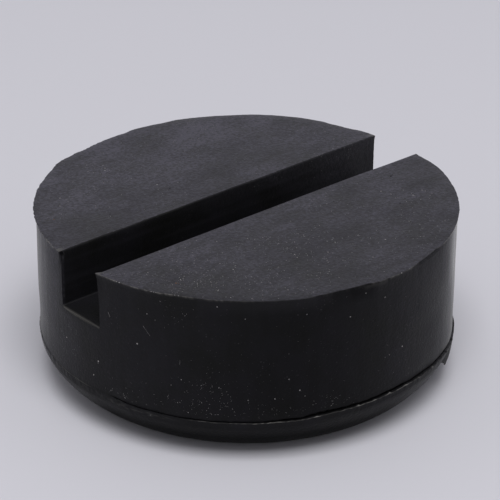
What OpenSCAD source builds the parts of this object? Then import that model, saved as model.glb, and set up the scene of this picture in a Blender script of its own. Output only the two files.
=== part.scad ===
// Slotted rubber jack pad: one moulded puck with a straight slot across its top.
// Millimetres, +Z up. The origin is the centre of the foot, on the floor. The slot runs along X.
// The mould closed in two halves, so a seam runs round the wall a little above the floor. The
// lower half sat slightly askew, and the rubber that squeezed out was trimmed by hand.

/* [Body] */
// Height from the floor to the top face
body_h = 25.4; // [22:0.1:32]
// Diameter of the straight wall
wall_d = 60.4; // [56:0.1:66]

/* [Rim lip] */
// How far the lip left by trimming stands out past the wall
lip_proud = 0.3; // [0.1:0.05:0.6]
// Thickness of the lip at its outer edge
lip_edge = 0.25; // [0.1:0.05:0.5]
// Height over which the lip runs out into the wall
lip_root = 0.7; // [0.6:0.05:1.5]
// Direction of the torn bite in the front of the lip, in degrees from +X
tear_az = -92; // [-110:1:-70]
// Length of the torn bite along the rim
tear_len = 0.7; // [0.5:0.1:4]
// How far the bite reaches in past the wall's face
tear_in = 0.15; // [0.05:0.05:0.5]
// How far the bite reaches below the lip
tear_below = 0.2; // [0.1:0.05:1]
// Directions in which the trimming knife took the lip's corner off, in degrees from +X
knife_az = [-105.5, -76.5, 94];
// How far in from the wall's face each cut starts on the top face
knife_in = 0.1; // [0:0.05:0.3]
// Slope of the cuts below level, in degrees
knife_slope = 35; // [15:1:60]

/* [Slot] */
// Width of the slot
slot_w = 8.5; // [5:0.1:14]
// Depth of the slot below the top face
slot_depth = 8.5; // [4:0.1:12]
// Distance of the slot's middle from the axis, towards +Y
slot_offset = 0.4; // [-1:0.1:1]

/* [Base] */
// Height of the mould's seam above the floor
seam_z = 6.8; // [5:0.1:9]
// Diameter of the base at the seam
base_d = 60.3; // [56:0.1:66]
// Height of the straight land below the seam
land_h = 0.8; // [0.4:0.1:1.5]
// Radius of the curve from the land to the foot
base_curve_r = 10; // [7:0.5:20]
// Diameter of the flat foot
foot_d = 48.6; // [44:0.1:52]
// How far the base sits off the axis, along X and Y
base_shift = [-0.1, -0.25];

/* [Seam] */
// Height of the open crevice above the seam, at the wall's face
crevice_h = 0.25; // [0.1:0.05:0.6]
// Depth of the crevice
crevice_depth = 0.5; // [0.2:0.05:1]

/* [Torn flash] */
// Direction of the torn end of the flash left hanging from the seam, in degrees from +X
flash_az = -57; // [-80:1:-40]
// Angle that the flash spans round the wall
flash_sweep = 35; // [15:1:60]
// How far the flash hangs down at its torn end
flash_drop = 3.1; // [1.5:0.1:4]
// How far it still hangs down where it runs out
flash_end_drop = 0.7; // [0.3:0.1:1.2]
// Thickness of the flash
flash_t = 0.3; // [0.2:0.05:0.6]
// How far its root stands out past the base's land
flash_proud = 0.15; // [0.05:0.05:0.2]
// How far it leans in towards the base at the bottom
flash_lean = 0.3; // [0:0.05:0.5]

/* [Hidden] */
$fn = 180;
cut_over = 1;

wall_r = wall_d / 2;
rim_r = wall_r + lip_proud;
base_r = base_d / 2;
foot_r = foot_d / 2;
slot_floor_z = body_h - slot_depth;

// Centre of the base curve: the circle through the land's lower edge and the foot's edge
land_z = seam_z - land_h;
curve_run = base_r - foot_r;
curve_chord = norm([curve_run, land_z]);
curve_rise = sqrt(pow(base_curve_r, 2) - pow(curve_chord / 2, 2));
curve_x = (base_r + foot_r) / 2 - curve_rise * land_z / curve_chord;
curve_z = land_z / 2 + curve_rise * curve_run / curve_chord;

// The straight upper part of the puck, with the thin lip that trimming left round its top
module upper_body() {
    translate([0, 0, seam_z])
        cylinder(r = wall_r, h = body_h - seam_z);
    rotate_extrude()
        polygon([
            [wall_r - lip_proud, body_h - lip_root],
            [wall_r, body_h - lip_root],
            [rim_r, body_h - lip_edge],
            [rim_r, body_h],
            [wall_r - lip_proud, body_h]
        ]);
}

// Half section of the base: a flat foot, one long arc and the straight land under the seam
module base_section() {
    intersection() {
        square([base_r, seam_z]);
        union() {
            square([curve_x, seam_z]);
            translate([curve_x, curve_z])
                circle(r = base_curve_r);
        }
    }
}

// Flash that hangs from the land like a short skirt, torn off square at its front end
module torn_flash() {
    difference() {
        rotate([0, 0, flash_az])
            rotate_extrude(angle = flash_sweep)
                flash_section();
        flash_trim();
    }
}

module flash_section() {
    root_r = base_r + flash_proud;
    tip_r = root_r - flash_lean;
    polygon([
        [root_r - flash_t - flash_lean, seam_z],
        [tip_r - flash_t, seam_z - flash_drop],
        [tip_r, seam_z - flash_drop],
        [root_r, seam_z - flash_end_drop],
        [root_r, seam_z]
    ]);
}

// The wedge that makes the flash run out towards its back end
module flash_trim() {
    chord = 2 * base_r * sin(flash_sweep / 2);
    rotate([0, 0, flash_az])
        translate([base_r, 0, seam_z - flash_drop])
            rotate([0, 0, flash_sweep / 2])
                rotate([atan((flash_drop - flash_end_drop) / chord), 0, 0])
                    translate([-chord / 2, -cut_over, -2 * flash_drop])
                        cube([chord, chord * 2, 2 * flash_drop]);
}

// The base as the lower half of the mould left it, a touch off the axis
module lower_body() {
    translate(base_shift) {
        rotate_extrude()
            base_section();
        torn_flash();
    }
}

// Wedge-shaped crevice between the wall and the ledge of the base
module crevice_cut() {
    rotate_extrude()
        polygon([
            [wall_r - crevice_depth, seam_z],
            [wall_r + crevice_depth, seam_z],
            [wall_r + crevice_depth, seam_z + 2 * crevice_h]
        ]);
}

module slot_cut() {
    translate([-rim_r - cut_over, slot_offset - slot_w / 2, slot_floor_z])
        cube([2 * (rim_r + cut_over), slot_w, slot_depth + cut_over]);
}

// Bite torn out of the lip and the top of the wall
module tear_cut() {
    tear_h = lip_root + tear_below;
    rotate([0, 0, tear_az])
        translate([wall_r - tear_in, -tear_len / 2, body_h - tear_h])
            cube([lip_proud + tear_in + cut_over, tear_len, tear_h + cut_over]);
}

// Flat stretch where the trimming knife took the lip's corner off at a slope
module knife_cut(az) {
    rotate([0, 0, az])
        translate([wall_r - knife_in, -wall_r / 2, body_h])
            rotate([0, knife_slope, 0])
                translate([-cut_over, 0, 0])
                    cube([wall_r / 2, wall_r, wall_r / 2]);
}

module pad() {
    color([0.13, 0.13, 0.14])
        difference() {
            union() {
                upper_body();
                lower_body();
            }
            crevice_cut();
            slot_cut();
            tear_cut();
            for (az = knife_az)
                knife_cut(az);
        }
}

pad();
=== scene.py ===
import math
import random

import bmesh
import bpy
from mathutils import Matrix, Vector, noise


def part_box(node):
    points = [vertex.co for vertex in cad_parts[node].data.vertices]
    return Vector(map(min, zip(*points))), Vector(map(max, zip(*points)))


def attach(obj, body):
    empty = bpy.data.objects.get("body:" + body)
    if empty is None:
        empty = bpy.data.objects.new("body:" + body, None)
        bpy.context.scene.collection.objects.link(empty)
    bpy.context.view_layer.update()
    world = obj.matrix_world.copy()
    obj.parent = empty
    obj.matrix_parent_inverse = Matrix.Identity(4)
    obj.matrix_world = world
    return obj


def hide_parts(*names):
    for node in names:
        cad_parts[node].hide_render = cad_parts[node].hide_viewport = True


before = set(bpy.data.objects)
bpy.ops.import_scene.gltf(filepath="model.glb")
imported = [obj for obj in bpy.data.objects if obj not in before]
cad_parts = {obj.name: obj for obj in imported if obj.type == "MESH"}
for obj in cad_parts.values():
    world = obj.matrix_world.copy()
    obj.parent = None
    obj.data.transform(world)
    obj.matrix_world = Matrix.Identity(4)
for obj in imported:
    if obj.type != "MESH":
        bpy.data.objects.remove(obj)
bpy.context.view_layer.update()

# Lengths below are millimetres unless a name says otherwise; directions are degrees from +X.
# Pieces are modelled in millimetres and made metres by their last step.
MM = 0.001
BOX_LOW, BOX_HIGH = (Vector(corner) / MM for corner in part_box("pad"))
# Room kept inside the solid's box, so that dust on the top face stays in it too
SKIN = 0.04
TOP_Z = BOX_HIGH.z - SKIN

# Sizes of the pad
WALL_R = 30.25
# How far the wall stands off the axis, and in which direction
WALL_SHIFT = 0.07
WALL_SHIFT_AZ = -47
LIP_EDGE = 0.22
LIP_ROOT = 0.9
SLOT_W = 8.5
SLOT_DEPTH = 8.5
SLOT_OFFSET = 0.4
SEAM_Z = 6.8
BASE_R = 30.15
LAND_H = 0.8
BASE_CURVE_R = 10.0
FOOT_R = 24.3
BASE_SHIFT = Vector((-0.1, -0.25, 0))
CREVICE_H = 0.25
CREVICE_DEPTH = 0.5
# How far below the slot's floor its worn left edge reaches
SLOT_WEAR = 0.2

SLOT_FLOOR_Z = BOX_HIGH.z - SLOT_DEPTH
SLOT_NEAR_Y = SLOT_OFFSET - SLOT_W / 2
SLOT_FAR_Y = SLOT_OFFSET + SLOT_W / 2

# The puck is spun as wedges of a turn; each wedge has this many steps
WEDGES = 8
WEDGE_STEPS = 180
# Height of a row of faces on the wall, and how many rows the base's curve and its land have
WALL_ROW = 1.4
CURVE_ROWS = 12
LAND_ROWS = 7

# How far the top face reaches where the rim was trimmed by hand: direction, radius
RIM_REACH = (
    (-180, 30.5), (-171, 30.4), (-163, 30.5), (-156, 30.5), (-150, 30.3), (-140, 30.35),
    (-116, 30.5), (-112, 30.15), (-106, 29.95), (-98, 29.9), (-96.5, 30.2), (-94.5, 30.4),
    (-84.5, 30.4), (-82, 30.3), (-79, 30.1), (-71, 30.0), (-67, 30.3), (-53, 30.45),
    (-42, 30.55), (-31, 30.65), (-19, 30.8), (-8, 30.45), (8, 30.5), (13, 30.55), (18, 30.3),
    (23, 30.4), (27, 30.8), (34, 31.0), (46, 31.0), (55, 30.7), (69, 30.7), (75, 30.35),
    (83, 30.4), (87.5, 30.05), (103, 29.95), (107, 30.3), (114, 30.7), (123, 30.4),
    (133, 30.5), (180, 30.5),
)
# Height of the seam round the pad: direction, height above the floor
SEAM_RUN = (
    (-180, 6.5), (-169, 6.72), (-162, 6.55), (-148, 6.45), (-135, 6.47), (-120, 6.6),
    (-103, 6.93), (-86, 7.1), (-77, 7.13), (-68, 6.9), (-52, 6.4), (-20, 6.7), (30, 6.8),
    (90, 6.75), (140, 6.7), (165, 6.45), (180, 6.5),
)
# Bits of rubber that stand up from the ledge: direction, reach outwards, reach upwards
LEDGE_TAGS = (
    (-100.5, 0.12, 0.2), (-90.2, 0.1, 0.28), (-112.5, 0.06, 0.12), (-71.5, 0.1, 0.35),
    (-60.5, 0.12, 0.15), (-84, 0.05, 0.12), (-95.5, 0.05, 0.1), (-78.5, 0.06, 0.1),
)
# The bite torn out of the lip: its direction, half its length in degrees and its depth
TEAR_AZ = -92
TEAR_HALF = 0.4
TEAR_IN = 0.12
# How far the seam gapes above the ledge: direction, height of the gap
SEAM_GAPE = (
    (-180, 0.0), (-169, 0.0), (-163, 0.03), (-128, 0.07), (-119, 0.2), (-110, 0.31), (-86, 0.29),
    (-74, 0.14), (-40, 0.13), (60, 0.13), (100, 0.0), (180, 0.0),
)


def smooth_step(low, high, value):
    """0 below low, 1 above high, with a soft turn between them."""
    share = min(max((value - low) / (high - low), 0.0), 1.0)
    return share * share * (3 - 2 * share)


def turned(angle, start):
    """How far a direction lies past another, from -180 to 180 degrees."""
    return (angle - start + 180) % 360 - 180


def within(angle, start, end, soft):
    """1 where the direction lies between start and end, fading over soft degrees."""
    half = ((end - start) % 360) / 2
    away = abs(turned(angle, start + half))
    return 1 - smooth_step(half - soft / 2, half + soft / 2, away)


def near(angle, middle, width):
    """A soft hump, 1 at the middle direction."""
    return math.exp(-((turned(angle, middle) / width) ** 2))


def along(stations, angle):
    """Value at a direction, from (direction, value) pairs that go round from -180 to 180."""
    for (a, low), (b, high) in zip(stations, stations[1:]):
        if angle <= b:
            return low + (high - low) * smooth_step(a, b, angle)
    return stations[-1][1]


def round_noise(angle, waves, layer):
    """Noise from about -1 to 1, with so many waves in a full turn, that closes on itself."""
    turn = math.radians(angle)
    reach = waves / (2 * math.pi)
    return 1.6 * noise.noise(Vector((reach * math.cos(turn), reach * math.sin(turn), layer)))


def direction_of(co):
    """The direction in which a spot lies, in degrees from +X."""
    return math.degrees(math.atan2(co.y, co.x))


def facing(angle):
    """The level direction in which the wall faces there."""
    turn = math.radians(angle)
    return Vector((math.cos(turn), math.sin(turn), 0))


def set_radius(vert, radius):
    """Moves a vertex straight towards or away from the upright axis."""
    old = math.hypot(vert.co.x, vert.co.y)
    vert.co.x *= radius / old
    vert.co.y *= radius / old


def keep_in_box(vert):
    """Nothing stands out past the solid's box."""
    for axis in range(3):
        vert.co[axis] = min(max(vert.co[axis], BOX_LOW[axis]), BOX_HIGH[axis])


# Shapes of the single features, by direction
def rim_radius(angle):
    """Where the top face ends."""
    reach = along(RIM_REACH, angle)
    reach += 0.03 * round_noise(angle, 70, 1.3) + 0.03 * round_noise(angle, 300, 2.1)
    reach += 0.07 * round_noise(angle, 420, 8.2) * within(angle, 95, 176, 10)
    bite = 1 - smooth_step(TEAR_HALF * 0.8, TEAR_HALF, abs(turned(angle, TEAR_AZ)))
    return reach - bite * TEAR_IN


def wall_radius(angle, height):
    """The wall stands a hair off the axis and is slightly drawn in above the seam at the left."""
    shift = WALL_SHIFT * math.cos(math.radians(angle - WALL_SHIFT_AZ))
    waist = 0.13 * within(angle, 100, 190, 60) * math.exp(-(((height - 9.5) / 2.6) ** 2))
    turn = math.radians(angle)
    place = Vector((4 * math.cos(turn), 4 * math.sin(turn), height * 0.25))
    return WALL_R + shift - waist + 0.03 * noise.noise(place)


def seam_height(angle):
    """Height of the ledge above the floor."""
    return along(SEAM_RUN, angle) + 0.03 * round_noise(angle, 120, 4.4)


def seam_open(angle):
    """1 where the seam gapes, 0 at the left end of the slot, where it never opened."""
    return within(angle, -167, 100, 8)


def crevice_height(angle):
    """The crevice gapes widest at the front right."""
    ragged = 1 + 0.3 * round_noise(angle, 90, 7.7) + 0.3 * round_noise(angle, 300, 3.3)
    return 0.02 + along(SEAM_GAPE, angle) * max(ragged, 0.2) * seam_dashes(angle)


def seam_dashes(angle):
    """At the left the seam shows in dashes: 1 in a dash, 0 between them."""
    return max(within(angle, -126, 100, 12), smooth_step(-0.5, 0.1, round_noise(angle, 260, 6.6)))


def crevice_depth(angle):
    """How far the crevice goes in past the wall's face."""
    ragged = 1 + 0.2 * round_noise(angle, 40, 8.8)
    return CREVICE_DEPTH * ragged * (0.2 + 0.8 * seam_dashes(angle))


def ledge_reach(angle):
    """How far the upper edge of the base stands out past its land."""
    reach = 0.16 * near(angle, 130, 30) + 0.22 * near(angle, -46, 25)
    reach += 0.045 * round_noise(angle, 110, 5.2) + 0.05 * round_noise(angle, 320, 6.4)
    return reach + sum(out * near(angle, az, 0.5) for az, out, _ in LEDGE_TAGS)


def ledge_rise(angle):
    """How far the upper edge of the base stands up."""
    tags = sum(up * near(angle, az, 0.45) for az, _, up in LEDGE_TAGS)
    return 0.04 * round_noise(angle, 320, 9.4) + tags


def base_swell(angle):
    """The base bulges a little more at the front right."""
    return 0.18 * near(angle, -72, 26)


def base_curve():
    """The arc from the land under the seam to the foot's edge: radius and height of its rows."""
    land_z = SEAM_Z - LAND_H
    run = BASE_R - FOOT_R
    chord = math.hypot(run, land_z)
    rise = math.sqrt(BASE_CURVE_R**2 - (chord / 2) ** 2)
    centre_r = (BASE_R + FOOT_R) / 2 - rise * land_z / chord
    centre_z = land_z / 2 + rise * run / chord
    start = math.atan2(land_z - centre_z, BASE_R - centre_r)
    end = math.atan2(-centre_z, FOOT_R - centre_r)
    turns = [start + (end - start) * i / CURVE_ROWS for i in range(CURVE_ROWS + 1)]
    return [
        (centre_r + BASE_CURVE_R * math.cos(t), centre_z + BASE_CURVE_R * math.sin(t)) for t in turns
    ]


# Rings of the half section, from the top face down to the foot
TOP_RING, RIM_TOP, RIM_EDGE, LIP_LOW, LIP_MID, LIP_FOOT, WALL, WALL_LOW = range(1, 9)
GAP_MOUTH, GAP_TOP, GAP_END, LEDGE_IN, LEDGE_TOP, LEDGE_EDGE, LAND, CURVE = range(9, 17)


def pad_section():
    """Half section of the puck without its slot: radius, height and ring name."""
    gap_top = SEAM_Z + CREVICE_H
    rows = [
        (WALL_R - 1.0, TOP_Z, TOP_RING),
        (WALL_R + 0.15, TOP_Z, RIM_TOP),
        (WALL_R + 0.25, TOP_Z - 0.03, RIM_EDGE),
        (WALL_R + 0.22, TOP_Z - LIP_EDGE, LIP_LOW),
        (WALL_R + 0.1, TOP_Z - (LIP_EDGE + LIP_ROOT) / 2, LIP_MID),
        (WALL_R, TOP_Z - LIP_ROOT, LIP_FOOT),
    ]
    wall_h = TOP_Z - LIP_ROOT - gap_top
    count = round(wall_h / WALL_ROW)
    step = (wall_h - 0.2) / count
    heights = [TOP_Z - LIP_ROOT - step * i for i in range(1, count)]
    heights += [SLOT_FLOOR_Z - SLOT_WEAR, SLOT_FLOOR_Z - SLOT_WEAR - 0.12]
    rows += [(WALL_R, z, WALL) for z in sorted(heights, reverse=True)]
    rows += [
        (WALL_R, gap_top + 0.2, WALL_LOW),
        (WALL_R - 0.03, gap_top + 0.04, GAP_MOUTH),
        (WALL_R - 0.12, gap_top, GAP_TOP),
        (WALL_R - CREVICE_DEPTH, SEAM_Z + 0.03, GAP_END),
        (WALL_R - CREVICE_DEPTH, SEAM_Z, LEDGE_IN),
        (BASE_R - 0.08, SEAM_Z, LEDGE_TOP),
        (BASE_R, SEAM_Z - 0.03, LEDGE_EDGE),
    ]
    rows += [(BASE_R, SEAM_Z - 0.1 * i, LAND) for i in range(1, LAND_ROWS + 1)]
    rows += [(r, z, CURVE) for r, z in base_curve()]
    return rows


def spin_section(bm, rows):
    """Spins the section about the upright axis; every vertex keeps the name of its ring."""
    ring = bm.verts.layers.int.new("ring")
    verts = []
    for r, z, name in rows:
        vert = bm.verts.new((r, 0, z))
        vert[ring] = name
        verts.append(vert)
    edges = [bm.edges.new(pair) for pair in zip(verts, verts[1:])]
    wedge = 2 * math.pi / WEDGES
    about = {"cent": (0, 0, 0), "axis": (0, 0, 1), "use_merge": False}
    bmesh.ops.spin(
        bm, geom=verts + edges, angle=wedge, steps=WEDGE_STEPS, use_duplicate=False, **about
    )
    bmesh.ops.spin(
        bm, geom=[*bm.verts, *bm.edges, *bm.faces], angle=wedge * (WEDGES - 1), steps=WEDGES - 1,
        use_duplicate=True, **about,
    )
    bmesh.ops.remove_doubles(bm, verts=bm.verts, dist=0.001)
    bmesh.ops.holes_fill(bm, edges=[e for e in bm.edges if e.is_boundary], sides=0)
    bmesh.ops.recalc_face_normals(bm, faces=bm.faces)
    return ring


def lip_thickness(angle):
    """The lip is thin at the front and full at the back."""
    thin = within(angle, -175, -60, 16)
    return LIP_EDGE - 0.13 * thin + 0.025 * round_noise(angle, 200, 3.7)


def cut_share(angle):
    """1 where the knife took the lip's corner off."""
    return 1 - smooth_step(-0.25, 0.15, rim_radius(angle) - WALL_R)


def deep_share(angle):
    """1 where the knife went in deep, left of the torn tag."""
    return within(angle, -118, -97, 4)


def shape_upper(vert, name, angle):
    """Lip, wall and the roof of the crevice."""
    if name == TOP_RING:
        return
    rim = rim_radius(angle)
    wall = wall_radius(angle, vert.co.z)
    overhang = max(rim - wall, 0)
    cut = cut_share(angle)
    deep = deep_share(angle)
    if name == RIM_TOP:
        set_radius(vert, rim - 0.1)
    elif name == RIM_EDGE:
        set_radius(vert, rim)
    elif name == LIP_LOW:
        set_radius(vert, rim - 0.03)
        vert.co.z = TOP_Z - lip_thickness(angle) - 0.1 * cut * deep
    elif name == LIP_MID:
        edge = wall + 0.25 * overhang + 0.01
        set_radius(vert, edge + (rim - 0.02 - edge) * cut)
        vert.co.z = TOP_Z - 0.4 + cut * (0.2 - 0.3 * deep)
    elif name == LIP_FOOT:
        set_radius(vert, wall - 0.02 * cut - 0.1 * cut * deep)
        vert.co.z += 0.06 * round_noise(angle, 60, 5.9) + 0.5 * cut * (1 - deep)
    elif name in (WALL, WALL_LOW):
        set_radius(vert, wall)
    elif name == GAP_MOUTH:
        set_radius(vert, wall - 0.08)
    elif name == GAP_TOP:
        set_radius(vert, wall - 0.22)
    elif name == GAP_END:
        set_radius(vert, wall - crevice_depth(angle))
    seam_share = 1 - smooth_step(SEAM_Z + 0.6, SEAM_Z + 6, vert.co.z)
    vert.co.z += (seam_height(angle) - SEAM_Z) * seam_share
    if name in (GAP_MOUTH, GAP_TOP, WALL_LOW):
        vert.co.z += crevice_height(angle) - CREVICE_H


def shape_lower(vert, name, angle):
    """Ledge, land and curve of the base."""
    low = smooth_step(1.5, SEAM_Z - 0.6, vert.co.z)
    if name == LEDGE_IN:
        set_radius(vert, wall_radius(angle, vert.co.z) - crevice_depth(angle))
    else:
        out = base_swell(angle) * low
        if name in (LEDGE_TOP, LEDGE_EDGE, LAND):
            out += ledge_reach(angle) * smooth_step(SEAM_Z - LAND_H, SEAM_Z, vert.co.z)
        set_radius(vert, math.hypot(vert.co.x, vert.co.y) + out)
        if name in (LEDGE_TOP, LEDGE_EDGE):
            vert.co.z += ledge_rise(angle)
        vert.co += BASE_SHIFT
    vert.co.z += (seam_height(angle) - SEAM_Z) * low


# Where a row lies between wall and land when the seam is closed: 0 on the wall, 1 on the land
CLOSED_ROWS = {
    WALL_LOW: 0.0, GAP_MOUTH: 0.18, GAP_TOP: 0.34, GAP_END: 0.48, LEDGE_IN: 0.6, LEDGE_TOP: 0.76,
    LEDGE_EDGE: 0.88,
}
# Heights above the seam between which these rows lie, and the depth of the groove left there
CLOSED_TOP = 0.5
CLOSED_BOTTOM = -0.1
CLOSED_GROOVE = 0.02


def close_seam(vert, name, angle):
    """Where the seam never opened, its rows run smoothly from the wall to the base."""
    closed = 1 - seam_open(angle)
    if closed == 0 or name not in CLOSED_ROWS:
        return
    share = CLOSED_ROWS[name]
    wall = wall_radius(angle, SEAM_Z + CLOSED_TOP)
    land = BASE_R + ledge_reach(angle) + BASE_SHIFT.dot(facing(angle))
    radius = wall + (land - wall) * smooth_step(0, 1, share)
    radius -= CLOSED_GROOVE * math.exp(-(((share - 0.5) / 0.15) ** 2))
    height = seam_height(angle) + CLOSED_TOP + (CLOSED_BOTTOM - CLOSED_TOP) * share
    old = math.hypot(vert.co.x, vert.co.y)
    set_radius(vert, old + (radius - old) * closed)
    vert.co.z += (height - vert.co.z) * closed


def make_plain_object(name, bm):
    """Turns a bmesh into an object as it is."""
    mesh = bpy.data.meshes.new(name)
    bm.to_mesh(mesh)
    bm.free()
    thing = bpy.data.objects.new(name, mesh)
    bpy.context.scene.collection.objects.link(thing)
    return thing


# A face with more corners than this is a flat top or foot, so its edges are kept sharp
BIG_FACE = 12


def make_piece(name, bm, sharp_angle=35):
    """Turns a bmesh in millimetres into a piece in metres, with its sharp edges kept sharp."""
    for face in bm.faces:
        face.smooth = True
    for edge in bm.edges:
        flat = any(len(f.verts) > BIG_FACE for f in edge.link_faces)
        edge.smooth = not flat and edge.calc_face_angle(0) < math.radians(sharp_angle)
    bmesh.ops.scale(bm, vec=(MM, MM, MM), verts=bm.verts)
    return make_plain_object(name, bm)


# The slot: the shape that is taken out of the puck
FLOOR_FILLET = 0.25
# Radii of the slot's top edges
NEAR_ROUND = 0.07
FAR_ROUND = 0.3
# How far the slot's near wall leans out at the top of its right end
SLOT_WIDENING = 0.25
# The worn strip beside the left end of the far block starts here
STRIP_X = -29.35
CUT_OVER = 1.0
# Steps along X, finer over the last stretch at both ends, and rows up a wall
CUTTER_STEP = 0.4
CUTTER_END_STEP = 0.12
CUTTER_END = 3.2
CUTTER_ROWS = 20


def quarter(y, z, radius, start, end, count):
    """Points on a quarter circle about y, z, from one direction to another, in degrees."""
    turns = [math.radians(start + (end - start) * i / count) for i in range(count + 1)]
    return [(y + radius * math.cos(t), z + radius * math.sin(t)) for t in turns]


def slot_section():
    """Section across the slot as a closed loop of y, z: floor with filleted corners, rounded top
    edges, and a lid that stands clear above the top face."""
    top = TOP_Z + 0.02
    lid = top + CUT_OVER
    floor_z = SLOT_FLOOR_Z + FLOOR_FILLET
    loop = quarter(SLOT_NEAR_Y + FLOOR_FILLET, floor_z, FLOOR_FILLET, 180, 270, 3)
    loop += quarter(SLOT_FAR_Y - FLOOR_FILLET, floor_z, FLOOR_FILLET, 270, 360, 3)
    heights = [floor_z + (top - FAR_ROUND - floor_z) * i / CUTTER_ROWS for i in range(1, CUTTER_ROWS)]
    loop += [(SLOT_FAR_Y, z) for z in heights]
    loop += quarter(SLOT_FAR_Y + FAR_ROUND, top - FAR_ROUND, FAR_ROUND, 180, 90, 5)
    far_y = SLOT_FAR_Y + FAR_ROUND + 0.2
    near_y = SLOT_NEAR_Y - NEAR_ROUND - 0.2
    loop += [(far_y, top + 0.1), (far_y, lid), (near_y, lid), (near_y, top + 0.1)]
    loop += quarter(SLOT_NEAR_Y - NEAR_ROUND, top - NEAR_ROUND, NEAR_ROUND, 90, 0, 3)
    loop += [(SLOT_NEAR_Y, z) for z in reversed(heights)]
    return loop


def slot_widening(x):
    """How far the near wall's top edge stands back there."""
    return SLOT_WIDENING * smooth_step(14, 30, x)


def wander_slot(vert):
    """Uneven top edges, a ragged upright edge and a worn floor edge at the open ends."""
    x, y, z = vert.co
    height = smooth_step(SLOT_FLOOR_Z, TOP_Z, z)
    if y > SLOT_OFFSET:
        wave = noise.noise(Vector((x * 0.16, 7.0, 0.5)))
        rough = noise.noise(Vector((x * 1.7, 5.0, z * 1.3)))
        rough += noise.noise(Vector((x * 5, 4.0, z * 4)))
        vert.co.y += height * (0.12 * wave + 0.035 * rough)
        # a ragged strip beside the left end of the far block
        worn = smooth_step(-29.3, -29.75, x)
        vert.co.y += worn * (0.07 + 0.09 * noise.noise(Vector((x * 4, 1.0, z * 2.6))))
    else:
        wave = noise.noise(Vector((x * 0.16, 2.0, 0.5)))
        rough = noise.noise(Vector((x * 1.7, 3.0, z * 1.3)))
        vert.co.y -= height * (0.04 * wave + 0.02 * abs(rough))
        vert.co.y -= slot_widening(x) * height
    if z < SLOT_FLOOR_Z + FLOOR_FILLET:
        worn = smooth_step(-29.75, -30.1, x) + smooth_step(29.75, 30.1, x)
        vert.co.z -= worn * (0.1 + 0.06 * noise.noise(Vector((y * 1.5, x * 2, 2.0))))


def make_slot_cutter():
    """The slot's section drawn along X, in finer steps near both open ends."""
    reach = BOX_HIGH.x + CUT_OVER
    bm = bmesh.new()
    loop = [bm.verts.new((-reach, y, z)) for y, z in slot_section()]
    edges = [bm.edges.new(pair) for pair in zip(loop, loop[1:] + loop[:1])]
    x = -reach
    while x < reach - 1e-6:
        at_end = abs(x) > reach - CUTTER_END
        step = min(CUTTER_END_STEP if at_end else CUTTER_STEP, reach - x)
        made = bmesh.ops.extrude_edge_only(bm, edges=edges)["geom"]
        edges = [item for item in made if isinstance(item, bmesh.types.BMEdge)]
        ring = [item for item in made if isinstance(item, bmesh.types.BMVert)]
        bmesh.ops.translate(bm, vec=(step, 0, 0), verts=ring)
        x += step
    bmesh.ops.holes_fill(bm, edges=[e for e in bm.edges if e.is_boundary], sides=0)
    for vert in bm.verts:
        wander_slot(vert)
    bmesh.ops.recalc_face_normals(bm, faces=bm.faces)
    return make_plain_object("slot_cutter", bm)


def taken_out(body, cutter):
    """The mesh of body without cutter; both helpers are gone afterwards."""
    cut = body.modifiers.new("slot", "BOOLEAN")
    cut.operation = "DIFFERENCE"
    cut.solver = "EXACT"
    cut.object = cutter
    body_now = body.evaluated_get(bpy.context.evaluated_depsgraph_get())
    result = bpy.data.meshes.new_from_object(body_now)
    bm = bmesh.new()
    bm.from_mesh(result)
    bpy.data.meshes.remove(result)
    for helper in (body, cutter):
        mesh = helper.data
        bpy.data.objects.remove(helper)
        bpy.data.meshes.remove(mesh)
    return bm


# The near block's left corner: how far round it and down from it the knife's drag reaches
DRAGGED_CORNER = Vector((-30.1, SLOT_NEAR_Y, TOP_Z - 0.05))
DRAG = Vector((-0.2, 0.4, 0))
DRAG_REACH = 0.6
DRAG_DEPTH = 5.0
# The whisker of rubber on that corner
WHISKER = Vector((-0.05, 0.2, 0.02))
WHISKER_REACH = 0.45
# The small bite under the top corner of the far block's left end
CORNER_BITE = Vector((-29.8, SLOT_FAR_Y + 0.1, TOP_Z - 0.6))
BITE = Vector((0.4, 0.35, 0))
BITE_REACH = 0.6


def drag_corner(bm):
    """The near block's left corner was dragged into the slot by the knife, with a whisker on top."""
    for vert in bm.verts:
        depth = DRAGGED_CORNER.z - vert.co.z
        away = (vert.co - DRAGGED_CORNER).xy.length
        if away < DRAG_REACH and depth < DRAG_DEPTH:
            vert.co += DRAG * (1 - away / DRAG_REACH) * (1 - max(depth, 0) / DRAG_DEPTH)
        away = (vert.co - DRAGGED_CORNER).length
        if away < WHISKER_REACH:
            vert.co += WHISKER * (1 - away / WHISKER_REACH) ** 1.5


def bite_corner(bm):
    """Pushes the rubber in at the bite."""
    for vert in bm.verts:
        away = (vert.co - CORNER_BITE).length
        if away < BITE_REACH:
            vert.co += BITE * (1 - away / BITE_REACH)


# Pale places: the "trim" attribute is 1 on bare, freshly torn or cut rubber.
# A stretch is the direction where it starts, the one where it ends, how soft its ends are and
# its strength.
PALE_RIM = (
    (-175, -148, 12, 0.9), (-148, -132, 10, 0.35), (-91.5, -82, 3, 0.45), (-97, -93, 1.5, 0.4),
    (157, 174, 8, 0.9), (-70, -42, 10, 0.4), (20, 60, 20, 0.25),
)
PALE_RIM_REST = 0.08
PALE_LEDGE = (
    (-132, -112, 10, 0.95), (-112, -80, 10, 0.7), (-146, -132, 8, 0.4), (-74, -50, 10, 0.1),
)
PALE_TAG = 0.7
PALE_CORNER = 0.35


def total(stretches, angle):
    """Sum of the strengths of the stretches in which a direction lies."""
    return sum(strength * within(angle, start, end, soft) for start, end, soft, strength in stretches)


def broken(angle, waves, layer, low, high):
    """A line in dashes and dots: 0 in its gaps, 1 where it shows."""
    return smooth_step(low, high, round_noise(angle, waves, layer))


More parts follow.
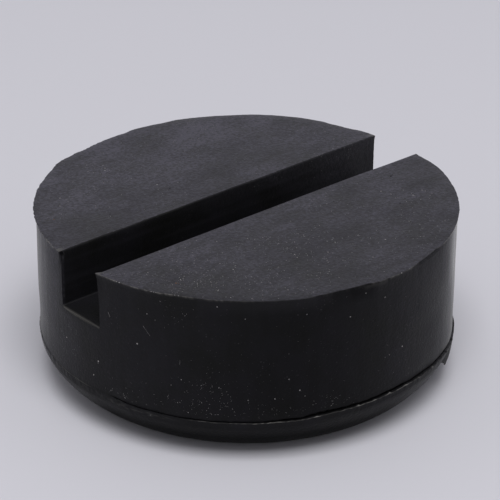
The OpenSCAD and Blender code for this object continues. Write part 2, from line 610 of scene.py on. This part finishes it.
def rim_paleness(angle):
    dashes = 0.3 + 0.9 * broken(angle, 240, 3.1, -0.3, 0.5)
    dots = 0.75 + 0.4 * round_noise(angle, 800, 1.7)
    return (total(PALE_RIM, angle) + PALE_RIM_REST) * dashes * dots


def ledge_paleness(angle):
    dashes = 0.3 + 0.7 * broken(angle, 330, 2.6, -0.4, 0.2)
    tags = sum(PALE_TAG * near(angle, az, 0.6) for az, _, _ in LEDGE_TAGS)
    return total(PALE_LEDGE, angle) * dashes + tags


def land_paleness(angle, height):
    """Scraped land at the front left: fine streaks along the seam."""
    below = seam_height(angle) - height
    streak = noise.noise(Vector((angle * 0.5, below * 7, 1.0)))
    grain = 0.7 + 0.6 * noise.noise(Vector((angle * 3, below * 5, 6.0)))
    share = within(angle, -171, -152, 10) * smooth_step(0.1, 0.4, below)
    return 0.26 * smooth_step(-0.1, 0.4, streak) * share * grain


def in_slot(place):
    """Whether a spot lies on the slot's floor, walls or edges."""
    near_edge = SLOT_NEAR_Y - 0.25 - slot_widening(place.x)
    return near_edge < place.y < SLOT_FAR_Y + 0.9 and place.z > SLOT_FLOOR_Z - 0.6


def slot_paleness(place):
    """The edge of the slot's floor at its left end is worn, and so are the blocks' corners."""
    radius = math.hypot(place.x, place.y)
    by_floor = SLOT_FLOOR_Z - SLOT_WEAR < place.z < SLOT_FLOOR_Z + 0.05
    if by_floor and place.x < 0 and radius > WALL_R - 0.23:
        patches = smooth_step(-0.25, 0.3, noise.noise(Vector((place.y * 2.3, 0, 0))))
        return (0.15 + 0.3 * smooth_step(0, 4.5, place.y)) * (0.3 + 1.2 * patches)
    if place.z > TOP_Z - 0.1 and radius > WALL_R - 0.35:
        return PALE_CORNER
    return 0.0


def trim_value(place, name, angle):
    """How pale the rubber is where it was cut or torn."""
    if in_slot(place):
        return slot_paleness(place)
    if name == RIM_EDGE:
        return rim_paleness(angle)
    if name == LIP_LOW:
        return 0.4 * rim_paleness(angle)
    if name == LIP_MID:
        return 0.07 * within(angle, -99, -92, 2)
    if name == LEDGE_EDGE:
        return ledge_paleness(angle) * seam_open(angle)
    if name == LAND:
        return land_paleness(angle, place.z)
    if name == GAP_END:
        return 0.35 * within(angle, 168, 182, 6) * broken(angle, 100, 5.5, -0.6, 0.2)
    return 0.0


# Dust: the "dust" attribute is 1 where the film on the rubber is as thick as on the top face; in
# places it is also raised to paint light and lowered to paint shade
def slot_dust_and_painted_light(place):
    """Some dust on the floor and on the worn strip; the band along the top of the walls and the rise
    towards their right end are painted light.
    """
    if place.z < SLOT_FLOOR_Z + 0.02:
        return 0.25 * smooth_step(-24, -4, place.x)
    if place.y > SLOT_OFFSET and place.x < STRIP_X:
        return 0.3 + 0.3 * noise.noise(Vector((place.x * 3, 0, place.z * 1.5)))
    # painted light: a paler band along the top of the walls, and more towards their open right end
    edge = place.z + 0.6 * noise.noise(Vector((place.x * 0.12, 9, 0)))
    band = 0.12 * smooth_step(TOP_Z - 2.4, TOP_Z - 1.6, edge) * smooth_step(-12, 8, place.x)
    return band + 0.22 * smooth_step(4, 28, place.x)


def base_dust_and_painted_light(place, angle):
    """A thin film of dust, and under the seam at the back left a patch that paints light on the base.
    """
    return 0.02 + 0.7 * within(angle, 110, 160, 20) * smooth_step(3, 5.5, place.z)


def wall_dust_and_painted_light(place, angle):
    """Dust with streaks; thinned at the front as painted shade, smeared at the right and left edges
    as a painted highlight.
    """
    streak = noise.noise(Vector((angle * 0.5, place.z * 0.12, 4.0)))
    # the smears are a painted highlight along the wall's right and left edges
    smear = within(angle, -62, -20, 20) * (1.0 + 0.4 * streak)
    smear += within(angle, 138, 174, 22) * (0.85 + 0.3 * streak)
    smear *= 0.45 + 0.55 * smooth_step(8, 20, place.z)
    smear += 0.13 * within(angle, -82, -30, 36) * (1 + streak)
    smear += 0.3 * near(angle, -52, 9) * smooth_step(12, 22, place.z)
    # less film at the front is painted shade
    return 0.05 - 0.035 * near(angle, -118, 30) + 0.05 * streak + smear


def dust_and_painted_light_value(place, name, angle):
    """How much of a film of dust lies on the rubber, raised or lowered in places as painted light and
    shade.
    """
    if place.z > TOP_Z - 0.02:
        return 1.0
    if in_slot(place):
        return slot_dust_and_painted_light(place)
    if name in (GAP_MOUTH, GAP_TOP, GAP_END, LEDGE_IN):
        return 0.0
    if name in (LAND, CURVE):
        return base_dust_and_painted_light(place, angle)
    return wall_dust_and_painted_light(place, angle)


def inside_value(place, name, angle):
    """1 on the walls of the slot."""
    return 1.0 if in_slot(place) and SLOT_FLOOR_Z + 0.2 < place.z < TOP_Z - 0.2 else 0.0


def cut_and_painted_shade_value(place, name, angle):
    """Dark, dull rubber: painted shade in the bite, the crevice, the front of the wall and low on the
    base's front; on the lip's knife cuts partly cut rubber, partly painted shade.
    """
    # painted shade in the bite
    if (place - CORNER_BITE).length < 0.5:
        return 1.0
    if in_slot(place):
        return 0.0
    # painted shade in the crevice and at its mouth
    if name in (GAP_TOP, GAP_END, LEDGE_IN):
        return seam_open(angle)
    if name in (GAP_MOUTH, WALL_LOW):
        return along(SEAM_GAPE, angle) * (2.4 if name == GAP_MOUTH else 1.2)
    # the lip's knife cuts: bare cut rubber, darkened further as painted shade under the lip
    if name in (LIP_LOW, LIP_MID, LIP_FOOT, RIM_EDGE):
        fresh = 0.25 + 0.45 * within(angle, -125, -86, 8)
        return fresh * cut_share(angle) * (0.6 + 0.3 * round_noise(angle, 80, 6.0))
    # painted shade on the front of the wall
    if name == WALL:
        return 0.38 * near(angle, -118, 26)
    # painted shade low on the front of the base
    if name == CURVE:
        return (1 - smooth_step(3, 6.5, place.z)) * within(angle, 178, -80, 24)
    return 0.0


# dust also carries painted light and cut also carries painted shade; values up to HIGHEST_VALUE let
# the painted highlight at the wall's edges pass the top face's film
SURFACE_VALUES = {
    "trim": trim_value, "dust": dust_and_painted_light_value, "cut": cut_and_painted_shade_value, "inside": inside_value
}
HIGHEST_VALUE = 2


def mark_surfaces(bm):
    """Gives every vertex the attributes that the rubber's material reads."""
    layers = {name: bm.verts.layers.float.new(name) for name in SURFACE_VALUES}
    ring = bm.verts.layers.int["ring"]
    for vert in bm.verts:
        angle = direction_of(vert.co)
        for name, value in SURFACE_VALUES.items():
            vert[layers[name]] = min(max(value(vert.co, vert[ring], angle), 0), HIGHEST_VALUE)


def make_pad():
    bm = bmesh.new()
    ring = spin_section(bm, pad_section())
    for vert in bm.verts:
        name = vert[ring]
        angle = direction_of(vert.co)
        if name in (LEDGE_IN, LEDGE_TOP, LEDGE_EDGE, LAND, CURVE):
            shape_lower(vert, name, angle)
        else:
            shape_upper(vert, name, angle)
        close_seam(vert, name, angle)
        keep_in_box(vert)
    bm = taken_out(make_plain_object("puck", bm), make_slot_cutter())
    drag_corner(bm)
    bite_corner(bm)
    mark_surfaces(bm)
    for vert in bm.verts:
        keep_in_box(vert)
    return make_piece("moulded_pad", bm)


# The bit of flash that still hangs from the seam at the right
FLASH_FROM, FLASH_TO = -66.5, -16
FLASH_ROOT_R = 30.3
# How far it leans in over a drop of 3 mm
FLASH_LEAN = 0.34
FLASH_T = 0.28
# Share of its thickness that is gone at the lower edge
FLASH_THINNING = 0.55
FLASH_ROWS = 10
FLASH_STEPS = 200
# How far it hangs below the seam: direction, drop
FLASH_DROP = (
    (-180, 0.05), (-66.5, 0.05), (-64.2, 0.85), (-62, 1.6), (-60.6, 2.0), (-58.6, 2.75),
    (-56, 2.6), (-50, 2.4), (-42, 2.0), (-32, 1.2), (-20, 0.35), (-16, 0.05), (180, 0.05),
)


def flash_drop(angle):
    ragged = 0.08 * round_noise(angle, 260, 1.9) + 0.05 * round_noise(angle, 700, 4.2)
    return max(along(FLASH_DROP, angle) + ragged, 0.05)


def spin_flash(bm):
    """An even strip, 1 high, from its root at height 0 down to its edge."""
    outer = [(FLASH_ROOT_R, -i / FLASH_ROWS) for i in range(FLASH_ROWS + 1)]
    inner = [(FLASH_ROOT_R - FLASH_T, z) for _, z in reversed(outer)]
    verts = [bm.verts.new((r, 0, z)) for r, z in outer + inner]
    edges = [bm.edges.new(pair) for pair in zip(verts, verts[1:] + verts[:1])]
    bmesh.ops.spin(
        bm, geom=verts + edges, cent=(0, 0, 0), axis=(0, 0, 1),
        angle=math.radians(FLASH_TO - FLASH_FROM), steps=FLASH_STEPS, use_merge=False,
        use_duplicate=False,
    )
    bmesh.ops.holes_fill(bm, edges=[e for e in bm.edges if e.is_boundary], sides=0)
    turn = Matrix.Rotation(math.radians(FLASH_FROM), 3, "Z")
    bmesh.ops.rotate(bm, verts=bm.verts, cent=(0, 0, 0), matrix=turn)


def make_flash():
    """A thin skirt with a slanted torn front end and an uneven lower edge."""
    bm = bmesh.new()
    spin_flash(bm)
    trim, dust, cut = (bm.verts.layers.float.new(name) for name in ("trim", "dust", "cut"))
    for vert in bm.verts:
        angle = direction_of(vert.co)
        share = -vert.co.z
        radius = math.hypot(vert.co.x, vert.co.y)
        drop = flash_drop(angle) * share
        bulge = 0.12 * near(angle, -48, 16) + 0.12 * near(angle, -40, 10)
        bulge += 0.03 * noise.noise(vert.co * 0.7)
        on_inside = radius < FLASH_ROOT_R - FLASH_T / 2
        thinned = FLASH_THINNING * share * FLASH_T if on_inside else 0
        set_radius(vert, radius + bulge - FLASH_LEAN * drop / 3 + thinned)
        vert.co.z = seam_height(angle) - 0.02 - drop
        vert[trim] = 0.3 * smooth_step(0.8, 1, share) * broken(angle, 300, 7.0, -0.2, 0.5)
        vert[dust] = 0.04
        vert[cut] = 0.9 - 0.6 * smooth_step(-58, -42, angle)
        vert.co += BASE_SHIFT
        keep_in_box(vert)
    bmesh.ops.recalc_face_normals(bm, faces=bm.faces)
    return make_piece("torn_flash", bm)


# Dust: grains that lie on the rubber
GRAIN_FLATNESS = 0.55
DUST_SEED = 5
# Larger grains on the top face: x, y, radius
TOP_GRAINS = (
    (-8.53, 21.97, 0.13), (-11.09, 22.77, 0.1), (-6.28, 12.61, 0.13), (-19.77, 18.14, 0.17),
    (-21.36, 16.05, 0.16), (17.07, -10.1, 0.13), (17.48, -11.76, 0.13), (19.67, -14.06, 0.1),
    (21.85, -13.72, 0.11), (22.24, -15.37, 0.11), (13.5, -13.59, 0.1), (11.75, -12.1, 0.1),
    (13.25, -19.74, 0.12), (11.52, -24.47, 0.1), (4.71, -18.26, 0.13), (0.78, -17.77, 0.12),
    (-2.05, -19.37, 0.13), (-2.12, -22.47, 0.1), (1.63, -24.49, 0.12), (-6.0, -16.9, 0.14),
    (-10.4, -18.4, 0.14), (6.7, -21.7, 0.12), (0.4, -21.6, 0.14),
)
# Grains on the wall: direction, height, radius
WALL_GRAINS = (
    (-160.4, 16.6, 0.17), (-173.6, 11.5, 0.13), (-173.7, 11.2, 0.1), (-175.6, 8.9, 0.13),
    (-153.6, 24.0, 0.13), (-157.4, 21.6, 0.1), (-155.1, 20.95, 0.08), (-138.6, 24.3, 0.12),
    (-131.5, 22.6, 0.09), (-120.1, 13.1, 0.12), (-92.1, 13.1, 0.09), (-90.6, 13.2, 0.08),
    (-103.7, 21.2, 0.1), (-115.7, 22.8, 0.12), (-92.9, 22.6, 0.1), (-85.8, 13.6, 0.13),
    (172.6, 12.2, 0.12), (-138.1, 11.9, 0.1), (-117.2, 11.2, 0.11), (-115.8, 10.2, 0.1),
    (-130.6, 10.1, 0.1), (-123.7, 10.2, 0.11), (-99.2, 24.2, 0.08), (-148.0, 12.5, 0.09),
)
# Grains on the base: direction, height, radius
BASE_GRAINS = (
    (-141.7, 5.1, 0.11), (-144.4, 5.2, 0.08), (-139.4, 5.0, 0.09), (-119.1, 5.85, 0.11),
    (-103.4, 5.3, 0.08), (-104.3, 4.5, 0.08), (-162.9, 5.8, 0.07), (-156.9, 6.0, 0.07),
)
# Patches of finer dust on the top face: middle x, y, spread, count, radius
TOP_PATCHES = (
    (0.0, 0.0, 40.0, 260, 0.04), (-22.4, -11.0, 4.5, 50, 0.055), (-27.1, -7.5, 3.0, 26, 0.05),
    (-19.5, -13.5, 5.0, 70, 0.055), (-8.3, -11.3, 7.0, 50, 0.05), (-3.6, -13.3, 6.0, 44, 0.055),
    (2.3, -18.2, 6.0, 50, 0.055), (-3.5, -19.0, 6.0, 50, 0.06), (-8.0, -23.2, 5.0, 40, 0.055),
    (-0.9, -25.5, 4.0, 26, 0.05), (-18.0, -21.5, 6.0, 80, 0.06), (19.3, -13.8, 5.0, 34, 0.06),
    (-25.0, -13.0, 3.0, 24, 0.05), (-12.6, 15.6, 7.0, 44, 0.05), (-9.2, 22.2, 3.0, 12, 0.06),
)
# The same on the wall: middle direction, height, spread of both, count, radius
WALL_PATCHES = (
    (-145.0, 8.4, 18.0, 1.2, 70, 0.04), (-120.0, 8.2, 14.0, 1.0, 50, 0.035),
    (-166.0, 7.6, 6.0, 0.5, 24, 0.045), (-143.0, 10.0, 8.0, 2.5, 40, 0.05),
    (-108.0, 9.2, 2.0, 1.0, 16, 0.045), (-142.0, 11.5, 5.0, 1.8, 30, 0.035),
    (-150.0, 22.5, 6.0, 1.8, 24, 0.035), (-120.0, 15.0, 60.0, 8.0, 80, 0.03),
    (0.0, 14.0, 180.0, 9.0, 160, 0.03),
)
# Brown grit and dark crumbs on the top face: x, y, radius
BROWN_GRAINS = ((-23.83, -12.85, 0.12), (-23.6, -13.05, 0.09), (-24.6, 13.2, 0.1))
DARK_CRUMBS = (
    (21.75, -7.38, 0.2), (22.2, -7.2, 0.14), (-5.59, 10.48, 0.16), (16.38, -14.74, 0.16),
    (9.6, -8.1, 0.12), (-17.5, 9.4, 0.12),
)
# Burrs on the rim: direction, radius
RIM_BURRS = (
    (-167.2, 0.13), (-166.2, 0.1), (-165.4, 0.12), (-155.9, 0.15), (-155.2, 0.1), (-154.6, 0.12),
    (-149.6, 0.12), (-148.6, 0.14), (-90.6, 0.1), (-87.4, 0.12), (-84.2, 0.1), (-66.5, 0.1),
    (-55.5, 0.14),
)
# Lint on the wall, from one end to the other: direction, height, direction, height
FIBRES = (
    (-158.6, 19.6, -156.6, 18.3), (-148.3, 15.5, -148.4, 14.8), (177.6, 14.6, 177.6, 13.8),
    (-169.6, 20.0, -169.0, 19.3),
)
FIBRE_R = 0.028
FIBRE_DARKNESS = 0.4
UP = Vector((0, 0, 1))


def wall_place(angle, height):
    """A spot on the wall."""
    return facing(angle) * wall_radius(angle, height) + UP * height


def base_place(angle, height):
    """A spot on the base."""
    rows = [(BASE_R, SEAM_Z), *base_curve()]
    radius = next(r for r, z in rows if z <= height) + base_swell(angle)
    return facing(angle) * radius + UP * height + BASE_SHIFT


def on_top(x, y):
    """Whether a spot lies on one of the two top faces, clear of their edges."""
    if math.hypot(x, y) > rim_radius(math.degrees(math.atan2(y, x))) - 0.25:
        return False
    return y < SLOT_NEAR_Y - 0.2 or y > SLOT_FAR_Y + 0.5


def add_grain(bm, place, normal, radius, chance, layer=None):
    """A flattened lump, half sunk in the surface; its layer, if any, is set to 1."""
    made = bmesh.ops.create_icosphere(bm, subdivisions=1, radius=radius)["verts"]
    for vert in made:
        vert.co *= chance.uniform(0.7, 1.15)
    bmesh.ops.scale(bm, vec=(1, chance.uniform(0.6, 1), GRAIN_FLATNESS), verts=made)
    turn = normal.to_track_quat("Z", "Y").to_matrix()
    spin = Matrix.Rotation(chance.uniform(0, 2 * math.pi), 3, "Z")
    for vert in made:
        vert.co = turn @ (spin @ vert.co) + place
        if layer is not None:
            vert[layer] = 1
        keep_in_box(vert)


def add_wall_grain(bm, angle, height, radius, chance):
    """A grain on the wall, unless it would lie by the seam, on the lip or in the slot's end."""
    if height < seam_height(angle) + 0.6 or height > TOP_Z - 1:
        return
    place = wall_place(angle, height)
    slot_end = height > SLOT_FLOOR_Z - 0.4 and abs(place.y - SLOT_OFFSET) < SLOT_W / 2 + 0.5
    if not slot_end:
        add_grain(bm, place, facing(angle), radius, chance)


def add_fibre(bm, start, end):
    """A thin straight hair between two spots of the wall."""
    run = end - start
    made = bmesh.ops.create_cone(
        bm, cap_ends=True, segments=6, radius1=FIBRE_R, radius2=FIBRE_R * 0.7, depth=run.length
    )["verts"]
    turn = run.to_track_quat("Z", "Y").to_matrix()
    for vert in made:
        vert.co = turn @ vert.co + (start + end) / 2
    return made


def add_crumbs(bm, brown, dark, chance):
    """Brown grit, dark crumbs, burrs on the rim and lint."""
    for grains, layer in ((BROWN_GRAINS, brown), (DARK_CRUMBS, dark)):
        for x, y, radius in grains:
            add_grain(bm, Vector((x, y, TOP_Z)), UP, radius, chance, layer)
    for angle, radius in RIM_BURRS:
        spot = facing(angle) * (rim_radius(angle) - 0.05) + UP * (TOP_Z - 0.05)
        add_grain(bm, spot, UP, radius, chance)
    for angle, height, end_angle, end_height in FIBRES:
        for vert in add_fibre(bm, wall_place(angle, height), wall_place(end_angle, end_height)):
            vert[dark] = FIBRE_DARKNESS


def add_top_dust(bm, chance):
    for x, y, radius in TOP_GRAINS:
        add_grain(bm, Vector((x, y, TOP_Z)), UP, radius, chance)
    for x0, y0, spread, count, radius in TOP_PATCHES:
        for _ in range(count):
            x, y = chance.gauss(x0, spread * 0.5), chance.gauss(y0, spread * 0.5)
            size = radius * chance.uniform(0.5, 1.6)
            if on_top(x, y):
                add_grain(bm, Vector((x, y, TOP_Z)), UP, size, chance)


def add_side_dust(bm, chance):
    for angle, height, radius in WALL_GRAINS:
        add_wall_grain(bm, angle, height, radius, chance)
    for angle, height, radius in BASE_GRAINS:
        add_grain(bm, base_place(angle, height), facing(angle), radius, chance)
    for a0, z0, da, dz, count, radius in WALL_PATCHES:
        for _ in range(count):
            size = radius * chance.uniform(0.5, 1.4)
            angle, height = chance.gauss(a0, da * 0.6), chance.gauss(z0, dz * 0.7)
            add_wall_grain(bm, angle, height, size, chance)


def make_dust():
    chance = random.Random(DUST_SEED)
    bm = bmesh.new()
    brown, dark = (bm.verts.layers.float.new(name) for name in ("brown", "dark"))
    add_crumbs(bm, brown, dark, chance)
    add_top_dust(bm, chance)
    add_side_dust(bm, chance)
    return make_piece("dust_grains", bm, sharp_angle=80)


# Materials
class Tree:
    """Short calls for the nodes of a material or of the world."""

    def __init__(self, owner):
        owner.use_nodes = True
        self.nodes = owner.node_tree.nodes
        self.links = owner.node_tree.links

    def feed(self, socket, value):
        """Sets a number or a colour on a socket, or links another socket to it."""
        if isinstance(value, bpy.types.NodeSocket):
            self.links.new(value, socket)
        else:
            socket.default_value = value

    def fill(self, node, inputs):
        """Sets or links a node's inputs by name."""
        for name, value in inputs.items():
            self.feed(node.inputs[name], value)

    def add(self, kind, inputs=None):
        """A new node of a kind, with inputs given by name."""
        node = self.nodes.new("ShaderNode" + kind)
        self.fill(node, inputs or {})
        return node

    def noise(self, place, scale, detail=2.0, roughness=0.5):
        """A noise on the given coordinates; scale is waves per metre."""
        values = {"Vector": place, "Scale": scale, "Detail": detail, "Roughness": roughness}
        return self.add("TexNoise", values).outputs["Fac"]

    def ramp(self, value, low, high, to_low, to_high):
        """Runs from to_low, where the value is low or less, to to_high, where it is high or more."""
        ends = {"From Min": low, "From Max": high, "To Min": to_low, "To Max": to_high}
        return self.add("MapRange", {"Value": value, **ends}).outputs["Result"]

    def maths(self, operation, a, b):
        node = self.add("Math")
        node.operation = operation
        for socket, value in zip(node.inputs, (a, b)):
            self.feed(socket, value)
        return node.outputs["Value"]

    def product(self, result, *values):
        for value in values:
            result = self.maths("MULTIPLY", result, value)
        return result

    def mix(self, share, a, b):
        """Mixes two colours; each is a socket or a tuple."""
        node = self.add("Mix")
        node.data_type = "RGBA"
        self.feed(node.inputs["Factor"], share)
        for name, value in (("A", a), ("B", b)):
            self.feed(next(s for s in node.inputs if s.name == name and s.type == "RGBA"), value)
        return next(s for s in node.outputs if s.type == "RGBA")

    def attribute(self, name):
        node = self.add("Attribute")
        node.attribute_name = name
        return node.outputs["Fac"]

    def stretch(self, place, scale, turn=0):
        """The coordinates turned about Z and squeezed, so that a noise on them is drawn out."""
        values = {"Vector": place, "Rotation": (0, 0, math.radians(turn)), "Scale": scale}
        return self.add("Mapping", values).outputs["Vector"]

    def specks(self, place, scale, size, rare):
        """Small dots: 1 inside a dot; only cells whose random number is above rare have one."""
        cells = self.add("TexVoronoi", {"Vector": place, "Scale": scale})
        chance = self.add("SeparateColor", {"Color": cells.outputs["Color"]}).outputs
        chosen = self.maths("GREATER_THAN", chance["Red"], rare)
        radius = self.ramp(chance["Green"], 0, 1, size * 0.5, size)
        share = self.maths("DIVIDE", cells.outputs["Distance"], radius)
        return self.product(self.ramp(share, 0.7, 1.0, 1, 0), chosen)


RUBBER_DARK = (0.0040, 0.0041, 0.0040, 1)
RUBBER_LIGHT = (0.0064, 0.0062, 0.0078, 1)
# the colour of cut rubber, also used for painted shade
CUT_AND_SHADED_RUBBER = (0.0022, 0.0022, 0.0023, 1)
BARE_RUBBER = (0.16, 0.155, 0.145, 1)
DUST_FILM = (0.067, 0.0645, 0.082, 1)
SPECK = (0.2, 0.195, 0.205, 1)
# How the film is scaled by place: up towards the slot, down behind it, and up towards the back and
# the right, where it paints the top face lighter as painted light: axis, place from and to in metres,
# scale from and to
FILM_AND_PAINTED_LIGHT_DRIFTS = (
    ("Y", -0.018, -0.0045, 1.0, 1.5), ("Y", 0.003, 0.0045, 1.0, 0.78),
    ("Y", 0.006, 0.025, 1.0, 1.6), ("X", -0.022, 0.022, 0.9, 1.25),
)


def rubber_colour(tree, mottle, cut):
    """Black rubber in two shades, and darker still where it was cut and where shade is painted."""
    rubber = tree.mix(tree.ramp(mottle, 0.35, 0.65, 0, 1), RUBBER_DARK, RUBBER_LIGHT)
    return tree.mix(cut, rubber, CUT_AND_SHADED_RUBBER)


def dust_film(tree, place, dust, inside, fine):
    """The film of dust: clouds, drawn-out flow marks, grit and streaks on the slot's walls, scaled by
    place and by the dust value, which also carry painted light.
    """
    flow = tree.noise(tree.stretch(place, (0.3, 1, 1), turn=-25), 420, 4, 0.65)
    flow = tree.ramp(flow, 0.3, 0.7, 0.5, 1.15)
    cloud = tree.ramp(tree.noise(place, 110, 3, 0.5), 0.35, 0.65, 0.65, 1.15)
    grit = tree.ramp(fine, 0.35, 0.75, 0.4, 1.6)
    axes = tree.add("SeparateXYZ", {"Vector": place}).outputs
    drifts = [tree.ramp(axes[axis], *drift) for axis, *drift in FILM_AND_PAINTED_LIGHT_DRIFTS]
    film = tree.product(dust, flow, cloud, grit, 0.5, *drifts)
    streak = tree.noise(tree.stretch(place, (0.04, 1, 1)), 900, 3, 0.5)
    return tree.maths("ADD", film, tree.product(tree.ramp(streak, 0.45, 0.75, 0, 0.07), inside))


def loose_dust(tree, place, dust):
    """Loose specks of dust in two sizes, more of them in some patches."""
    coarse = tree.specks(place, 1500, 0.17, 0.35)
    specks = tree.maths("MAXIMUM", coarse, tree.specks(place, 2600, 0.2, 0.5))
    patch = tree.ramp(tree.noise(place, 95, 2, 0.5), 0.42, 0.62, 0.15, 1)
    return tree.product(specks, patch, tree.ramp(dust, 0.02, 0.5, 0.12, 0.75))


def dust_sheen(tree, dust):
    """The dust's sheen, which grows where it is seen at a slant."""
    slant = tree.add("LayerWeight", {"Blend": 0.5}).outputs["Facing"]
    return tree.maths("ADD", tree.product(dust, tree.ramp(slant, 0.68, 0.95, 0.05, 0.34)), 0.02)


def rubber_relief(tree, mottle, fine):
    relief = tree.maths("ADD", fine, tree.product(mottle, 1.6))
    bump = tree.add("Bump", {"Strength": 0.5, "Distance": 0.00012, "Height": relief})
    return bump.outputs["Normal"]


def rubber_material():
    """Moulded black rubber under its dust, pale where it is bare, with painted light and painted
    shade that ride on the dust and cut values.
    """
    material = bpy.data.materials.new("moulded_rubber")
    tree = Tree(material)
    shader = tree.nodes["Principled BSDF"]
    place = tree.add("TexCoord").outputs["Object"]
    trim, dust, cut, inside = (tree.attribute(name) for name in SURFACE_VALUES)
    mottle = tree.noise(place, 160, 5, 0.6)
    fine = tree.noise(place, 2300, 3, 0.6)
    film = dust_film(tree, place, dust, inside, fine)
    colour = tree.mix(film, rubber_colour(tree, mottle, cut), DUST_FILM)
    colour = tree.mix(loose_dust(tree, place, dust), colour, SPECK)
    colour = tree.mix(trim, colour, BARE_RUBBER)
    rough = tree.maths("ADD", tree.ramp(mottle, 0.3, 0.7, 0.44, 0.54), tree.product(film, 0.2))
    # even values, which hold wherever the ones that vary can't be read
    tree.fill(shader, {"Sheen Weight": 0.03, "Sheen Roughness": 0.4, "Specular IOR Level": 0.1})
    tree.fill(shader, {
        "Base Color": colour,
        "Roughness": rough,
        "Sheen Weight": dust_sheen(tree, dust),
        # less gloss where cut, and as painted shade in the crevice, at the front and low on the base
        "Specular IOR Level": tree.ramp(cut, 0, 1, 0.115, 0.008),
        "Normal": rubber_relief(tree, mottle, fine),
    })
    return material


GRAIN_DARK = (0.09, 0.087, 0.09, 1)
GRAIN_PALE = (0.34, 0.33, 0.33, 1)
BROWN_GRIT = (0.15, 0.07, 0.028, 1)
RUBBER_CRUMB = (0.004, 0.004, 0.004, 1)


def dust_material():
    """Pale dust, with a few grains of brown grit and dark crumbs of rubber."""
    material = bpy.data.materials.new("dust")
    tree = Tree(material)
    place = tree.add("TexCoord").outputs["Object"]
    shade = tree.mix(tree.ramp(tree.noise(place, 700), 0.35, 0.65, 0, 1), GRAIN_DARK, GRAIN_PALE)
    shade = tree.mix(tree.attribute("brown"), shade, BROWN_GRIT)
    shade = tree.mix(tree.attribute("dark"), shade, RUBBER_CRUMB)
    shader = tree.nodes["Principled BSDF"]
    tree.fill(shader, {"Base Color": shade, "Roughness": 0.9, "Specular IOR Level": 0.1})
    return material


FLOOR_COLOUR = (0.655, 0.65, 0.70, 1)


def floor_material():
    material = bpy.data.materials.new("pale_floor")
    tree = Tree(material)
    shader = tree.nodes["Principled BSDF"]
    tree.fill(shader, {"Base Color": FLOOR_COLOUR, "Roughness": 0.9, "Specular IOR Level": 0.1})
    return material


# The stage: floor, lamp, world and camera, in metres
FLOOR_REACH = 4


def make_floor():
    bm = bmesh.new()
    bmesh.ops.create_grid(bm, x_segments=1, y_segments=1, size=FLOOR_REACH)
    floor = make_plain_object("floor", bm)
    floor.data.materials.append(floor_material())


def view_direction(azimuth, elevation):
    """From the pad towards a viewer; azimuth counts from -Y towards +X, in degrees."""
    a, e = math.radians(azimuth), math.radians(elevation)
    return Vector((math.sin(a) * math.cos(e), -math.cos(a) * math.cos(e), math.sin(e)))


def make_lamp(name, azimuth, elevation, distance, size, power):
    """A square soft lamp that faces the pad."""
    lamp = bpy.data.lights.new(name, "AREA")
    lamp.shape = "SQUARE"
    lamp.size = size
    lamp.energy = power
    holder = bpy.data.objects.new(name, lamp)
    away = view_direction(azimuth, elevation)
    holder.location = away * distance
    holder.rotation_mode = "QUATERNION"
    holder.rotation_quaternion = away.to_track_quat("Z", "Y")
    bpy.context.scene.collection.objects.link(holder)


WORLD_COLOUR = (0.97, 0.965, 1, 1)
WORLD_LIGHT = 0.42
WORLD_SEEN = 0.85


def make_world():
    """Even light from all round; the camera and reflections see a paler background."""
    world = bpy.data.worlds.new("studio")
    bpy.context.scene.world = world
    tree = Tree(world)
    path = tree.add("LightPath").outputs
    seen = tree.maths("MAXIMUM", path["Is Camera Ray"], path["Is Glossy Ray"])
    strength = tree.ramp(seen, 0, 1, WORLD_LIGHT, WORLD_SEEN)
    tree.fill(tree.nodes["Background"], {"Color": WORLD_COLOUR, "Strength": strength})


# The photograph's view, worked out from the rim, the slot's corners and the seam
CAMERA_AZIMUTH = -41.5
CAMERA_ELEVATION = 26.99
CAMERA_ROLL = 0.49
CAMERA_DISTANCE = 0.34895
AIM_RIGHT = 0.00056
AIM_HEIGHT = 0.01752
FOCAL_PIXELS = 2404.9
IMAGE_PIXELS = 500
SENSOR_MM = 36


def make_camera():
    back = view_direction(CAMERA_AZIMUTH, CAMERA_ELEVATION)
    a = math.radians(CAMERA_AZIMUTH)
    right = Vector((math.cos(a), math.sin(a), 0))
    up = back.cross(right)
    roll = math.radians(CAMERA_ROLL)
    across = math.cos(roll) * right + math.sin(roll) * up
    upright = math.cos(roll) * up - math.sin(roll) * right
    turn = Matrix((across, upright, back)).transposed().to_4x4()
    data = bpy.data.cameras.new("camera")
    data.sensor_width = SENSOR_MM
    data.lens = FOCAL_PIXELS * SENSOR_MM / IMAGE_PIXELS
    data.clip_start = 0.01
    data.clip_end = 20
    camera = bpy.data.objects.new("camera", data)
    spot = right * AIM_RIGHT + UP * AIM_HEIGHT + back * CAMERA_DISTANCE
    camera.matrix_world = Matrix.Translation(spot) @ turn
    bpy.context.scene.collection.objects.link(camera)
    bpy.context.scene.camera = camera


rubber = rubber_material()
pad = make_pad()
pad.data.materials.append(rubber)
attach(pad, "root")
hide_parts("pad")

flash = make_flash()
flash.data.materials.append(rubber)
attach(flash, "root")

dust = make_dust()
dust.data.materials.append(dust_material())
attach(dust, "root")

make_floor()
make_world()
make_lamp("top_light", azimuth=-35, elevation=66, distance=1.1, size=0.6, power=7.4)
make_camera()
bpy.context.scene.view_settings.view_transform = "Standard"
